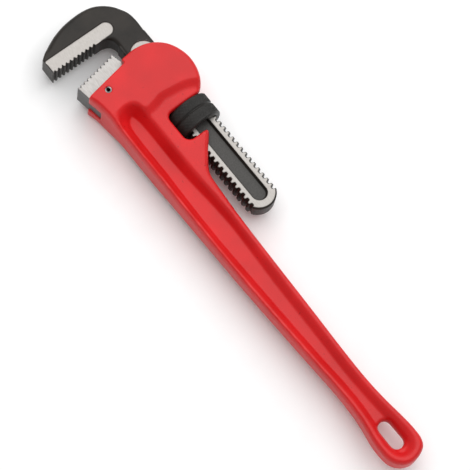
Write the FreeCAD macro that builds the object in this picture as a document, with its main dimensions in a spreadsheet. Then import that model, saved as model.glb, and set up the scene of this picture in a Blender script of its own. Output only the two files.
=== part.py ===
"""Straight pipe wrench, 18 inch pattern, lying on its side.

Frame, in millimetres: X runs along the jaw's shank, from the handle's end towards the hook.
Y runs across the handle, towards the side on which the jaws open. Z is up, through the thickness.
The origin is on the head's lower flat face, straight below the shank's axis.
"""
import FreeCAD, Part
import math
import os
import Sketcher

doc = FreeCAD.newDocument("pipe_wrench")
sizes = doc.addObject("Spreadsheet::Sheet", "sizes")

DRIVING_SIZES = {
    # handle casting, measured along X, across Y and through Z
    "head_thick": 36.0,
    "mid_height": 18.0,
    "beam_thick": 27.0,
    "beam_mid_thick": 21.0,
    "beam_end_thick": 18.6,
    "web_thick": 8.0,
    "end_x": -338.6,
    "end_round_outer": 17.0,
    "end_round_inner": 13.0,
    "end_lift": -0.4,
    "waist_x": -262.0,
    "waist_outer_y": 49.7,
    "waist_inner_y": 27.0,
    "grip_x": -312.0,
    "grip_outer_y": 53.4,
    "grip_inner_y": 23.6,
    "grip_bend_x": -284.0,
    "grip_bend_radius": 170.0,
    "shoulder_x": -20.0,
    "shoulder_y": 54.2,
    "beam_mid_x": -150.0,
    "beam_outer_y": 53.6,
    "beam_inner_y": 24.0,
    "throat_high_x": -73.0,
    "throat_high_y": 15.6,
    "throat_x": -94.0,
    "throat_y": 21.6,
    "throat_radius": 34.0,
    "taper_start_x": -62.0,
    "taper_mid_x": -125.0,
    "flange_wide": 6.6,
    "recess_top_x": -5.0,
    "recess_end_x": -329.0,
    "recess_low_y": 36.8,
    "recess_high_y": 41.8,
    "recess_corner_low": 9.5,
    "recess_corner_high": 8.5,
    "recess_end_radius": 12.0,
    "recess_grip_radius": 18.0,
    # housing around the shank
    "housing_x": -2.8,
    "housing_y": 6.8,
    "housing_radius": 30.7,
    "step_x": -15.0,
    "step_low_y": -6.0,
    "step_bend_y": 25.8,
    "step_notch_deep": 8.0,
    "step_notch_low_y": 34.8,
    "step_notch_high_y": 45.8,
    "window_low_x": -54.0,
    "window_high_x": -27.0,
    "window_back_y": 19.0,
    "ear_tip_y": 3.7,
    "ear_thick": 4.4,
    "ear_slot_wide": 16.2,
    "channel_wide": 17.4,
    "channel_low_y": -15.8,
    "channel_high_y": 16.5,
    "bridge_start_x": -20.0,
    "bridge_end_x": 12.0,
    # heel jaw and its seat
    "heel_tilt": 9.9,
    "heel_tooth_reach": 38.95,
    "cheek_reach": 26.2,
    "cheek_low_x": 4.0,
    "cheek_low_y": 55.4,
    "cheek_front_y": 58.0,
    "heel_wide": 21.6,
    "heel_tang_wide": 12.6,
    "heel_floor_x": 4.5,
    "heel_floor_long": 23.0,
    "heel_back_y": 19.0,
    "heel_back_rise": 2.2,
    "heel_front_y": 58.0,
    "heel_leg_y": 54.1,
    "tooth_pitch": 3.63,
    "tooth_depth": 2.0,
    "tooth_root_share": 0.62,
    "tooth_edge_share": 0.15,
    "heel_teeth": 10.0,
    "pin_x": 12.8,
    "pin_y": 42.3,
    "pin_radius": 2.5,
    "pin_bore": 1.6,
    "pin_long": 35.0,
    "pin_slit": 0.8,
    # hang hole
    "hang_low_x": -325.0,
    "hang_high_x": -301.8,
    "hang_y": 38.5,
    "hang_wide": 10.6,
    "hang_rim_half": 2.0,
    # hook jaw
    "shank_end_x": -127.2,
    "shank_half": 13.9,
    "neck_half": 12.0,
    "shank_thick": 15.0,
    "neck_thick": 16.4,
    "neck_x": 42.0,
    "ground_end_x": 33.6,
    "ground_end_radius": 10.4,
    "panel_half": 6.3,
    "panel_low_x": -120.6,
    "panel_high_x": 27.0,
    "panel_deep": 3.0,
    "hook_thick": 19.6,
    "hook_flat_deep": 0.8,
    "hook_teeth_x": 49.6,
    "hook_tip_y": 64.8,
    "hook_tip_x": 63.2,
    "hook_crown_x": 78.6,
    "hook_crown_y": 16.8,
    "hook_bend_radius": 28.6,
    "hook_back_radius": 92.0,
    "hook_back_x": 68.4,
    "hook_back_y": 58.6,
    "hook_tip_radius": 22.0,
    "hook_throat_y": 20.2,
    "hook_throat_radius": 8.8,
    "hook_throat_rise": 0.1,
    "hook_flat_x": 61.0,
    "hook_flat_end_y": 6.3,
    "hook_teeth": 11.0,
    # thread on the shank's edges and in the nut
    "thread_pitch": 5.08,
    "thread_first_x": -119.2,
    "thread_gaps": 23.0,
    "thread_top_x": -3.0,
    "thread_root": 9.65,
    "thread_crest": 13.86,
    "thread_mean": 12.2,
    "gap_root_wide": 2.3,
    "gap_crest_wide": 4.45,
    # adjusting nut
    "nut_low_x": -47.6,
    "nut_high_x": -27.8,
    "nut_radius": 17.9,
    "nut_bore": 12.5,
    "nut_groove": 14.2,
    "nut_groove_deep_wide": 2.3,
    "nut_groove_mouth_wide": 3.5,
    "nut_groove_lead_in": 12.5,
    "nut_groove_turns": 6.5,
    "nut_waist_wide": 3.0,
    "nut_waist_deep": 1.5,
    "nut_bevel": 1.0,
    # springs inside the housing channel
    "leaf_thick": 0.8,
    "leaf_wide": 9.0,
    "leaf_root_x": -25.4,
    "leaf_flat_x": -16.0,
    "leaf_touch_x": 2.0,
    "leaf_touch_half": 4.0,
    "leaf_tip_x": 16.0,
    "leaf_gap": 0.35,
    "snug": 0.05,
    "rivet_x": -20.6,
    "rivet_radius": 1.5,
    "rivet_head_radius": 2.8,
    "rivet_head_high": 0.9,
    "rivet_long": 8.0,
    "rivet_proud": 1.5,
    "coil_x": -2.0,
    "coil_pocket_y": 28.0,
    "coil_pocket_radius": 4.2,
    "coil_radius": 3.3,
    "coil_wire": 0.5,
    "coil_turns": 6.0,
    "coil_reach": 0.2,
    # cutters start and end well outside the casting
    "past_low_y": -40.0,
    "past_high_y": 70.0,
    "past_high_x": 50.0,
    "past": 1.0,
    "past_crest": 0.5,
    "sliver": 0.01,
}


def fill_sheet():
    """One row for each driving size: its name, and its value under the same alias."""
    for row, (alias, number) in enumerate(DRIVING_SIZES.items(), start=1):
        sizes.set(f"A{row}", alias)
        sizes.set(f"B{row}", str(number))
        sizes.setAlias(f"B{row}", alias)
    doc.recompute()


def formula(text):
    """A formula in plain size names, as the expression engine wants it."""
    for alias in sorted(DRIVING_SIZES, key=len, reverse=True):
        text = text.replace(alias, f"sizes.§{alias[::-1]}§")
    parts = text.split("§")
    return "".join(part[::-1] if i % 2 else part for i, part in enumerate(parts))


def amount(text):
    """The number that a formula gives now."""
    result = sizes.evalExpression(formula(text))
    return float(getattr(result, "Value", result))


def bind(thing, prop, text):
    thing.setExpression(prop, formula(text))


def new_body(name):
    body = doc.addObject("PartDesign::Body", name)
    body.Label = name
    return body


def new_sketch(body, name, plane="XY_Plane", lift="0"):
    """An empty sketch on one of the body's own origin planes, lifted off it by a formula."""
    sketch = body.newObject("Sketcher::SketchObject", name)
    support = [f for f in body.Origin.OriginFeatures if f.Role == plane][0]
    sketch.AttachmentSupport = [(support, "")]
    sketch.MapMode = "FlatFace"
    bind(sketch, "AttachmentOffset.Base.z", lift)
    return sketch


def arc_through(start, end, radius, left):
    """The short arc of a given radius between two points, turning left or right on the way."""
    chord = end - start
    middle = (start + end) / 2
    aside = FreeCAD.Vector(-chord.y, chord.x, 0).normalize()
    apart = math.sqrt(max(radius * radius - chord.Length ** 2 / 4, 0))
    centre = middle + aside * (apart if left else -apart)
    towards = (middle - centre).normalize() if apart > 1e-9 else aside * (-1 if left else 1)
    return Part.Arc(start, centre + towards * radius, end)


def outline(body, name, steps, plane="XY_Plane", lift="0"):
    """A closed outline. A step is a corner (x, y), or (x, y, radius, turn) reached by an arc."""
    sketch = new_sketch(body, name, plane, lift)
    corners = [FreeCAD.Vector(amount(step[0]), amount(step[1]), 0) for step in steps]
    for i, step in enumerate(steps):
        start, end = corners[i - 1], corners[i]
        if len(step) == 2:
            sketch.addGeometry(Part.LineSegment(start, end))
        else:
            sketch.addGeometry(arc_through(start, end, amount(step[2]), step[3] == "left"))
    ends = []
    for i, step in enumerate(steps):
        # an arc that turns right is stored anticlockwise, so its own end is where it starts
        ends.append((2, 1) if len(step) == 2 or step[3] == "left" else (1, 2))
    for i, step in enumerate(steps):
        after = (i + 1) % len(steps)
        sketch.addConstraint(Sketcher.Constraint("Coincident", i, ends[i][0], after, ends[after][1]))
        for way, text in (("DistanceX", step[0]), ("DistanceY", step[1])):
            at = corners[i].x if way == "DistanceX" else corners[i].y
            index = sketch.addConstraint(Sketcher.Constraint(way, -1, 1, i, ends[i][0], at))
            bind(sketch, f"Constraints[{index}]", text)
        if len(step) == 4:
            index = sketch.addConstraint(Sketcher.Constraint("Radius", i, amount(step[2])))
            bind(sketch, f"Constraints[{index}]", step[2])
    return sketch


def ring(body, name, x, y, radii, plane="XY_Plane", lift="0"):
    """One or more circles about one centre."""
    sketch = new_sketch(body, name, plane, lift)
    for radius in radii:
        at = FreeCAD.Vector(amount(x), amount(y), 0)
        circle = sketch.addGeometry(Part.Circle(at, FreeCAD.Vector(0, 0, 1), amount(radius)))
        for way, text, start in (("DistanceX", x, at.x), ("DistanceY", y, at.y)):
            index = sketch.addConstraint(Sketcher.Constraint(way, -1, 1, circle, 3, start))
            bind(sketch, f"Constraints[{index}]", text)
        index = sketch.addConstraint(Sketcher.Constraint("Radius", circle, amount(radius)))
        bind(sketch, f"Constraints[{index}]", radius)
    return sketch


def extrude(body, kind, name, sketch, length, upward=None):
    """A Pad upwards, or a Pocket downwards, unless upward says otherwise."""
    feature = body.newObject(f"PartDesign::{kind}", name)
    feature.Profile = sketch
    bind(feature, "Length", length)
    if upward is not None:
        feature.Reversed = upward == (kind == "Pocket")
    before = body.Shape.Volume if body.Tip and not body.Shape.isNull() else 0
    doc.recompute()
    change = body.Shape.Volume - before
    if (kind == "Pocket") != (change < 0):
        raise SystemExit(f"{body.Label}.{name} did not change the body the right way: {change:.1f}")
    return feature


def pad(body, name, sketch, length, **options):
    return extrude(body, "Pad", name, sketch, length, **options)


def pocket(body, name, sketch, length, **options):
    return extrude(body, "Pocket", name, sketch, length, **options)


def repeat(body, name, feature, length, count, axis="H_Axis", backwards=False):
    """Copies of a feature in a row along one of its own sketch's axes."""
    pattern = body.newObject("PartDesign::LinearPattern", name)
    pattern.Originals = [feature]
    pattern.Direction = (feature.Profile[0], [axis])
    pattern.Reversed = backwards
    bind(pattern, "Length", length)
    bind(pattern, "Occurrences", count)
    body.Tip = pattern
    doc.recompute()
    return pattern


def reach_point(reach, along):
    """A point by its distance out along the heel's tilted normal and its Y."""
    return f"({reach} - ({along}) * sin(heel_tilt)) / cos(heel_tilt)"


def make_handle():
    """The whole casting: I-section handle, housing with the nut's window, ears and cheeks."""
    body = new_body("handle")
    low = "mid_height - beam_thick / 2"
    cheek_top_x = reach_point("cheek_reach", "cheek_front_y")
    cheek_back_x = reach_point("cheek_reach", "heel_back_y")
    beam = outline(body, "beam_outline", [
        ("window_low_x", "window_back_y"),
        ("window_low_x", "ear_tip_y"),
        ("window_low_x - ear_thick", "ear_tip_y"),
        ("throat_high_x", "throat_high_y"),
        ("throat_x", "throat_y", "throat_radius", "left"),
        ("beam_mid_x", "beam_inner_y"),
        ("waist_x", "waist_inner_y"),
        ("grip_x", "grip_inner_y"),
        ("end_x + end_round_inner", "grip_inner_y + end_lift"),
        ("end_x", "grip_inner_y + end_lift + end_round_inner", "end_round_inner", "right"),
        ("end_x + end_round_outer", "grip_outer_y", "end_round_outer", "right"),
        ("grip_x", "grip_outer_y"),
        ("grip_bend_x", "waist_outer_y", "grip_bend_radius", "left"),
        ("waist_x", "waist_outer_y"),
        ("beam_mid_x", "beam_outer_y"),
        ("shoulder_x", "shoulder_y"),
        ("cheek_low_x", "cheek_low_y"),
        (cheek_top_x, "cheek_front_y"),
        (cheek_back_x, "heel_back_y"),
        ("0", "heel_back_y"),
        ("window_high_x", "window_back_y"),
    ], lift=low)
    pad(body, "beam", beam, "beam_thick")
    housing = ring(body, "housing_outline", "housing_x", "housing_y", ["housing_radius"])
    pad(body, "housing", housing, "head_thick")
    cheeks = outline(body, "cheek_outline", [
        ("step_x", "step_low_y"),
        ("step_x", "step_bend_y"),
        ("step_x + step_notch_deep", "step_notch_low_y"),
        ("step_x + step_notch_deep", "step_notch_high_y"),
        ("step_x", "shoulder_y"),
        ("cheek_low_x", "cheek_low_y"),
        (cheek_top_x, "cheek_front_y"),
        (cheek_back_x, "heel_back_y"),
    ])
    pad(body, "cheeks", cheeks, "head_thick")
    for side, start in (("top", "head_thick"), ("bottom", low)):
        step = outline(body, f"{side}_step_outline", [
            ("step_x", "past_low_y"),
            ("step_x", "past_high_y"),
            ("step_x - housing_radius", "past_high_y"),
            ("step_x - housing_radius", "past_low_y"),
        ], lift=start)
        pocket(body, f"{side}_step", step, "(head_thick - beam_thick) / 2")
    for side, up in (("top", 1), ("bottom", -1)):
        taper = outline(body, f"{side}_taper_outline", [
            ("taper_start_x", f"mid_height + {up} * beam_thick / 2"),
            ("taper_mid_x", f"mid_height + {up} * beam_mid_thick / 2"),
            ("end_x - past", f"mid_height + {up} * beam_end_thick / 2"),
            ("end_x - past", f"mid_height + {up} * head_thick / 2"),
            ("taper_start_x", f"mid_height + {up} * head_thick / 2"),
        ], plane="XZ_Plane", lift="-past_high_y")
        pocket(body, f"{side}_taper", taper, "past_high_y", upward=True)
    for side, lift in (("top", "head_thick"), ("bottom", "mid_height - web_thick / 2")):
        recess = outline(body, f"{side}_recess_outline", [
            ("recess_top_x", "recess_high_y"),
            ("recess_top_x - recess_corner_high", "shoulder_y - flange_wide", "recess_corner_high", "left"),
            ("beam_mid_x", "beam_outer_y - flange_wide"),
            ("waist_x", "waist_outer_y - flange_wide"),
            ("grip_x", "grip_outer_y - flange_wide"),
            ("recess_end_x", "hang_y + hang_rim_half", "recess_end_radius", "left"),
            ("recess_end_x", "hang_y - hang_rim_half"),
            ("grip_x", "grip_inner_y + flange_wide", "recess_grip_radius", "left"),
            ("waist_x", "waist_inner_y + flange_wide"),
            ("beam_mid_x", "beam_inner_y + flange_wide"),
            ("throat_x", "throat_y + flange_wide"),
            ("recess_top_x - recess_corner_low", "throat_y + flange_wide"),
            ("recess_top_x", "recess_low_y", "recess_corner_low", "left"),
        ], lift=lift)
        pocket(body, f"{side}_recess", recess, "(head_thick - web_thick) / 2")
    cut_through(body)
    return body


def cut_through(body):
    """Everything that is cut out of the casting: window, channel, slots, seat and holes."""
    above = "head_thick + past"
    right_through = "head_thick + 2 * past"
    window = outline(body, "window_outline", [
        ("window_low_x", "window_back_y"),
        ("window_low_x", "past_low_y"),
        ("window_high_x", "past_low_y"),
        ("window_high_x", "window_back_y"),
    ], lift=above)
    pocket(body, "window", window, right_through)
    channel = outline(body, "channel_outline", [
        ("window_high_x - past", "channel_high_y"),
        ("window_high_x - past", "past_low_y"),
        ("bridge_start_x", "past_low_y"),
        ("bridge_start_x", "channel_low_y"),
        ("bridge_end_x", "channel_low_y"),
        ("bridge_end_x", "past_low_y"),
        ("housing_radius", "past_low_y"),
        ("housing_radius", "channel_high_y"),
    ], lift="mid_height + channel_wide / 2")
    pocket(body, "channel", channel, "channel_wide")
    ear_slot = outline(body, "ear_slot_outline", [
        ("window_low_x + past", "channel_high_y"),
        ("throat_x", "channel_high_y"),
        ("throat_x", "step_low_y"),
        ("window_low_x + past", "step_low_y"),
    ], lift="mid_height + ear_slot_wide / 2")
    pocket(body, "ear_slot", ear_slot, "ear_slot_wide")
    seat = outline(body, "heel_seat_outline", [
        ("heel_floor_x", "heel_back_y"),
        ("heel_floor_x", "past_high_y"),
        ("past_high_x", "past_high_y"),
        ("past_high_x", "heel_back_y"),
    ], lift="mid_height + heel_tang_wide / 2")
    pocket(body, "heel_seat", seat, "heel_tang_wide")
    heel_top = outline(body, "heel_top_outline", [
        (reach_point("cheek_reach", "past_high_y"), "past_high_y"),
        (reach_point("cheek_reach", "heel_back_y"), "heel_back_y"),
        ("past_high_x", "heel_back_y"),
        ("past_high_x", "past_high_y"),
    ], lift=above)
    pocket(body, "heel_top", heel_top, right_through)
    pin_hole = ring(body, "pin_hole_outline", "pin_x", "pin_y", ["pin_radius"], lift=above)
    pocket(body, "pin_hole", pin_hole, right_through)
    half = "hang_wide / 2"
    hang = outline(body, "hang_hole_outline", [
        (f"hang_low_x + {half}", f"hang_y + {half}"),
        (f"hang_low_x + {half}", f"hang_y - {half}", half, "left"),
        (f"hang_high_x - {half}", f"hang_y - {half}"),
        (f"hang_high_x - {half}", f"hang_y + {half}", half, "left"),
    ], lift=above)
    pocket(body, "hang_hole", hang, right_through)
    coil_hole = ring(body, "coil_pocket_outline", "coil_x", "mid_height", ["coil_pocket_radius"],
                     plane="XZ_Plane", lift="-coil_pocket_y")
    pocket(body, "coil_pocket", coil_hole, "coil_pocket_y - channel_high_y + past", upward=True)
    rivet_hole = ring(body, "rivet_hole_outline", "rivet_x", "mid_height", ["rivet_radius"],
                      plane="XZ_Plane", lift="rivet_proud - channel_high_y - rivet_long")
    pocket(body, "rivet_hole", rivet_hole, "rivet_long", upward=True)


def make_hook_jaw():
    """The forging: shank with thread teeth on both edges, neck, hook and its row of teeth."""
    body = new_body("hook_jaw")
    shank = outline(body, "shank_outline", [
        ("neck_x", "neck_half"),
        ("thread_top_x", "neck_half"),
        ("thread_top_x", "shank_half"),
        ("shank_end_x + shank_half", "shank_half"),
        ("shank_end_x", "0", "shank_half", "left"),
        ("shank_end_x + shank_half", "-shank_half", "shank_half", "left"),
        ("thread_top_x", "-shank_half"),
        ("thread_top_x", "-neck_half"),
        ("neck_x", "-neck_half"),
    ], lift="mid_height - shank_thick / 2")
    pad(body, "shank", shank, "shank_thick")
    start = "ground_end_x - ground_end_radius"
    bend = [
        ("hook_crown_x - hook_bend_radius", "hook_crown_y - hook_bend_radius"),
        ("hook_crown_x", "hook_crown_y", "hook_bend_radius", "left"),
        ("hook_back_x", "hook_back_y", "hook_back_radius", "left"),
        ("hook_tip_x", "hook_tip_y", "hook_tip_radius", "left"),
        ("hook_teeth_x", "hook_tip_y"),
        ("hook_teeth_x", "hook_throat_y"),
    ]
    neck = outline(body, "neck_outline", [
        (start, "-neck_half"),
        *bend,
        ("hook_teeth_x - hook_throat_radius", "hook_throat_y - hook_throat_radius",
         "hook_throat_radius", "right"),
        (start, "neck_half"),
        (start, "ground_end_radius"),
        (start, "-ground_end_radius", "ground_end_radius + sliver", "right"),
    ], lift="mid_height - neck_thick / 2")
    pad(body, "neck", neck, "neck_thick")
    hook = outline(body, "hook_outline", [
        ("neck_x", "-neck_half"),
        *bend,
        ("neck_x", "hook_throat_y - hook_throat_radius + hook_throat_rise", "hook_throat_radius", "right"),
    ], lift="mid_height - hook_thick / 2")
    pad(body, "hook", hook, "hook_thick")
    for side, top in (("top", "mid_height + hook_thick / 2"),
                      ("bottom", "mid_height - hook_thick / 2 + hook_flat_deep")):
        pocket(body, f"{side}_flat", flat_outline(body, side, top), "hook_flat_deep")
        panel_top = "mid_height + shank_thick / 2" if side == "top" else \
            "mid_height - shank_thick / 2 + panel_deep"
        panel = outline(body, f"{side}_panel_outline", [
            ("panel_high_x", "panel_half"),
            ("panel_low_x + panel_half", "panel_half"),
            ("panel_low_x", "0", "panel_half", "left"),
            ("panel_low_x + panel_half", "-panel_half", "panel_half", "left"),
            ("panel_high_x", "-panel_half"),
        ], lift=panel_top)
        pocket(body, f"{side}_panel", panel, "panel_deep")
    cut_thread(body)
    cut_teeth(body, "hook_teeth_x", "hook_tip_y", "hook_teeth", 1)
    return body


def flat_outline(body, side, top):
    """The milled flat beside the hook's teeth: straight sides and a round end, open at the tip."""
    half = "(hook_flat_x - hook_teeth_x) / 2"
    return outline(body, f"{side}_flat_outline", [
        ("hook_flat_x", "hook_tip_y + past"),
        ("hook_teeth_x", "hook_tip_y + past"),
        ("hook_teeth_x", f"hook_flat_end_y + {half}"),
        (f"hook_teeth_x + {half}", "hook_flat_end_y", half, "left"),
        ("hook_flat_x", f"hook_flat_end_y + {half}", half, "left"),
    ], lift=top)


def cut_thread(body):
    """Round the threaded edges to the thread's crest, then cut gaps that lean by the lead angle."""
    crest = ring(body, "crest_outline", "0", "mid_height", ["thread_crest", "2 * thread_crest"],
                 plane="YZ_Plane", lift="shank_end_x - past")
    pocket(body, "crest", crest, "thread_top_x - shank_end_x + past", upward=True)
    lead = math.atan2(amount("thread_pitch"), 2 * math.pi * amount("thread_mean"))
    for side, sign in (("front", 1), ("back", -1)):
        first = "thread_first_x" if sign > 0 else "thread_first_x + thread_pitch / 2"
        gap = outline(body, f"{side}_gap_outline", [
            (f"{first} - gap_root_wide / 2", f"{sign} * thread_root"),
            (f"{first} + gap_root_wide / 2", f"{sign} * thread_root"),
            (f"{first} + gap_crest_wide / 2", f"{sign} * (shank_half + past_crest)"),
            (f"{first} - gap_crest_wide / 2", f"{sign} * (shank_half + past_crest)"),
        ], lift="mid_height")
        cut = body.newObject("PartDesign::Pocket", f"{side}_gap")
        cut.Profile = gap
        cut.UseCustomVector = True
        cut.Direction = FreeCAD.Vector(sign * math.sin(lead), 0, math.cos(lead))
        cut.SideType = "Symmetric"
        bind(cut, "Length", "shank_thick + neck_thick")
        before = body.Shape.Volume
        doc.recompute()
        if body.Shape.Volume >= before:
            raise SystemExit(f"{side}_gap cut nothing")
        repeat(body, f"{side}_gaps", cut, "thread_pitch * (thread_gaps - 1)", "thread_gaps")


def cut_teeth(body, tip_x, top_y, count, inwards):
    """A row of saw teeth across a jaw's face, from its free end on: inwards is 1 or -1 along X."""
    steps = [
        (f"{tip_x} + {inwards} * tooth_depth", f"{top_y} - tooth_pitch * tooth_root_share"),
        (f"{tip_x} - {inwards} * sliver", f"{top_y} - tooth_pitch * tooth_edge_share"),
        (f"{tip_x} - {inwards} * sliver", f"{top_y} - tooth_pitch * (1 - tooth_edge_share)"),
    ]
    notch = outline(body, "tooth_gap_outline", steps, lift="mid_height + hook_thick")
    cut = pocket(body, "tooth_gap", notch, "2 * hook_thick")
    repeat(body, "tooth_gaps", cut, f"tooth_pitch * ({count} - 1)", count, "V_Axis", True)


def tilted(x, y):
    """A point of the wrench's frame as seen in the heel jaw's own tilted frame."""
    return (f"({x}) * cos(heel_tilt) + ({y}) * sin(heel_tilt)",
            f"({y}) * cos(heel_tilt) - ({x}) * sin(heel_tilt)")


def make_heel_jaw():
    """The toothed block in front of the cheeks and its thinner tang between them, tilted to wedge a pipe."""
    body = new_body("heel_jaw")
    bind(body, "Placement.Rotation.Angle", "heel_tilt")
    front = tilted(reach_point("heel_tooth_reach", "heel_front_y"), "heel_front_y")
    back = "heel_back_y + heel_back_rise"
    inner = tilted(reach_point("heel_tooth_reach", back), back)
    block = outline(body, "block_outline", [
        front,
        tilted("heel_floor_x", "heel_leg_y"),
        tilted("heel_floor_x", "heel_back_y"),
        tilted("heel_floor_x + heel_floor_long", "heel_back_y"),
        inner,
    ], lift="mid_height - heel_wide / 2")
    pad(body, "block", block, "heel_wide")
    for side, lift in (("top", "mid_height + heel_wide / 2"), ("bottom", "mid_height - heel_tang_wide / 2")):
        beside_tang = outline(body, f"{side}_shoulder_outline", [
            ("cheek_reach", "past_low_y"),
            ("cheek_reach", "past_high_y"),
            ("-past_high_x", "past_high_y"),
            ("-past_high_x", "past_low_y"),
        ], lift=lift)
        pocket(body, f"{side}_shoulder", beside_tang, "(heel_wide - heel_tang_wide) / 2")
    cut_teeth(body, "heel_tooth_reach", front[1], "heel_teeth", -1)
    at = tilted("pin_x", "pin_y")
    hole = ring(body, "pin_hole_outline", at[0], at[1], ["pin_radius"], lift="head_thick")
    pocket(body, "pin_hole", hole, "head_thick")
    return body


def make_heel_jaw_pin():
    """A rolled spring pin with an open slit, through both cheeks and the heel jaw."""
    body = new_body("heel_jaw_pin")
    tube = ring(body, "tube_outline", "pin_x", "pin_y", ["pin_radius", "pin_bore"],
                lift="(head_thick - pin_long) / 2")
    pad(body, "tube", tube, "pin_long")
    slit = outline(body, "slit_outline", [
        ("pin_x", "pin_y - pin_slit / 2"),
        ("pin_x + 2 * pin_radius", "pin_y - pin_slit / 2"),
        ("pin_x + 2 * pin_radius", "pin_y + pin_slit / 2"),
        ("pin_x", "pin_y + pin_slit / 2"),
    ], lift="head_thick")
    pocket(body, "slit", slit, "head_thick")
    return body


def make_adjusting_nut():
    """The ring that moves the jaw: waisted rim, bevelled ends and an internal thread."""
    body = new_body("adjusting_nut")
    middle = "(nut_low_x + nut_high_x) / 2"
    section = outline(body, "section_outline", [
        ("nut_low_x", "nut_bore"),
        ("nut_high_x", "nut_bore"),
        ("nut_high_x", "nut_radius - nut_bevel"),
        ("nut_high_x - nut_bevel", "nut_radius"),
        (f"{middle} + nut_waist_wide / 2", "nut_radius"),
        (middle, "nut_radius - nut_waist_deep"),
        (f"{middle} - nut_waist_wide / 2", "nut_radius"),
        ("nut_low_x + nut_bevel", "nut_radius"),
        ("nut_low_x", "nut_radius - nut_bevel"),
    ], lift="mid_height")
    turned = body.newObject("PartDesign::Revolution", "turned")
    turned.Profile = section
    turned.ReferenceAxis = (section, ["H_Axis"])
    turned.Angle = 360
    doc.recompute()
    first = "(thread_first_x + nut_groove_lead_in * thread_pitch)"
    groove = outline(body, "groove_outline", [
        (f"{first} - nut_groove_mouth_wide / 2", "nut_bore - past_crest"),
        (f"{first} + nut_groove_mouth_wide / 2", "nut_bore - past_crest"),
        (f"{first} + nut_groove_deep_wide / 2", "nut_groove"),
        (f"{first} - nut_groove_deep_wide / 2", "nut_groove"),
    ], lift="mid_height")
    thread = body.newObject("PartDesign::SubtractiveHelix", "thread")
    thread.Profile = groove
    thread.ReferenceAxis = (groove, ["H_Axis"])
    thread.Mode = "pitch-height-angle"
    bind(thread, "Pitch", "thread_pitch")
    bind(thread, "Height", "nut_groove_turns * thread_pitch")
    thread.LeftHanded = False
    before = turned.Shape.Volume
    doc.recompute()
    if body.Shape.Volume >= before:
        raise SystemExit("the nut's thread cut nothing")
    return body


def make_flat_spring():
    """A bowed leaf on the channel's wall that bears on the back of the shank."""
    body = new_body("flat_spring")
    wall = "channel_high_y - snug"
    strip = outline(body, "strip_outline", [
        ("leaf_root_x", wall),
        ("leaf_root_x", f"{wall} - leaf_thick"),
        ("leaf_flat_x", f"{wall} - leaf_thick"),
        ("leaf_touch_x - leaf_touch_half", "shank_half + leaf_gap"),
        ("leaf_touch_x + leaf_touch_half", "shank_half + leaf_gap"),
        ("leaf_tip_x", f"{wall} - 2 * leaf_thick"),
        ("leaf_tip_x", f"{wall} - leaf_thick"),
        ("leaf_touch_x + leaf_touch_half", "shank_half + leaf_gap + leaf_thick"),
        ("leaf_touch_x - leaf_touch_half", "shank_half + leaf_gap + leaf_thick"),
        ("leaf_flat_x", wall),
    ], lift="mid_height - leaf_wide / 2")
    pad(body, "strip", strip, "leaf_wide")
    hole = ring(body, "rivet_hole_outline", "rivet_x", "mid_height", ["rivet_radius + snug"],
                plane="XZ_Plane", lift="-channel_high_y - past")
    pocket(body, "rivet_hole", hole, "3 * leaf_thick", upward=True)
    return body


def make_spring_rivet():
    """Holds the leaf's root to the channel's wall."""
    body = new_body("spring_rivet")
    stem = ring(body, "stem_outline", "rivet_x", "mid_height", ["rivet_radius"],
                plane="XZ_Plane", lift="rivet_proud - channel_high_y - rivet_long")
    pad(body, "stem", stem, "rivet_long")
    cap = ring(body, "cap_outline", "rivet_x", "mid_height", ["rivet_head_radius"],
               plane="XZ_Plane", lift="leaf_thick + 2 * snug - channel_high_y")
    pad(body, "cap", cap, "rivet_head_high")
    return body


def make_coil_spring():
    """The small compression spring in its blind pocket behind the leaf."""
    body = new_body("coil_spring")
    sketch = ring(body, "wire_outline", "coil_radius", "coil_pocket_y - coil_wire - snug", ["coil_wire"],
                  lift="mid_height")
    bind(sketch, "AttachmentOffset.Base.x", "coil_x")
    coil = body.newObject("PartDesign::AdditiveHelix", "coil")
    coil.Profile = sketch
    coil.ReferenceAxis = (sketch, ["V_Axis"])
    coil.Mode = "height-turns-angle"
    bind(coil, "Height", "coil_pocket_y - channel_high_y + coil_reach")
    bind(coil, "Turns", "coil_turns")
    coil.Reversed = True
    doc.recompute()
    return body


def finish(bodies):
    """Check every object and write each sub-part's solid to its own file."""
    doc.recompute()
    for thing in doc.Objects:
        if {"Invalid", "Error"} & set(thing.State):
            raise SystemExit(f"{thing.Label} failed: {thing.State}")
    os.makedirs("parts", exist_ok=True)
    for body in bodies:
        shape = body.Shape
        if shape.isNull() or not shape.isValid():
            raise SystemExit(f"{body.Label} has no valid shape")
        shape.exportStep(f"parts/{body.Label}.step")
        box = shape.BoundBox
        print(f"{body.Label}: {len(shape.Solids)} solid, {shape.Volume:.0f} mm3,",
              f"x {box.XMin:.1f} {box.XMax:.1f}, y {box.YMin:.1f} {box.YMax:.1f},",
              f"z {box.ZMin:.1f} {box.ZMax:.1f}")


fill_sheet()
finish([
    make_handle(),
    make_hook_jaw(),
    make_adjusting_nut(),
    make_heel_jaw(),
    make_heel_jaw_pin(),
    make_flat_spring(),
    make_spring_rivet(),
    make_coil_spring(),
])
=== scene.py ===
"""Looks of the pipe wrench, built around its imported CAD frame. Lengths are in mm until a mesh is made."""
import math

import bmesh
import bpy
import numpy as np
from mathutils import Matrix, Vector


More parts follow.
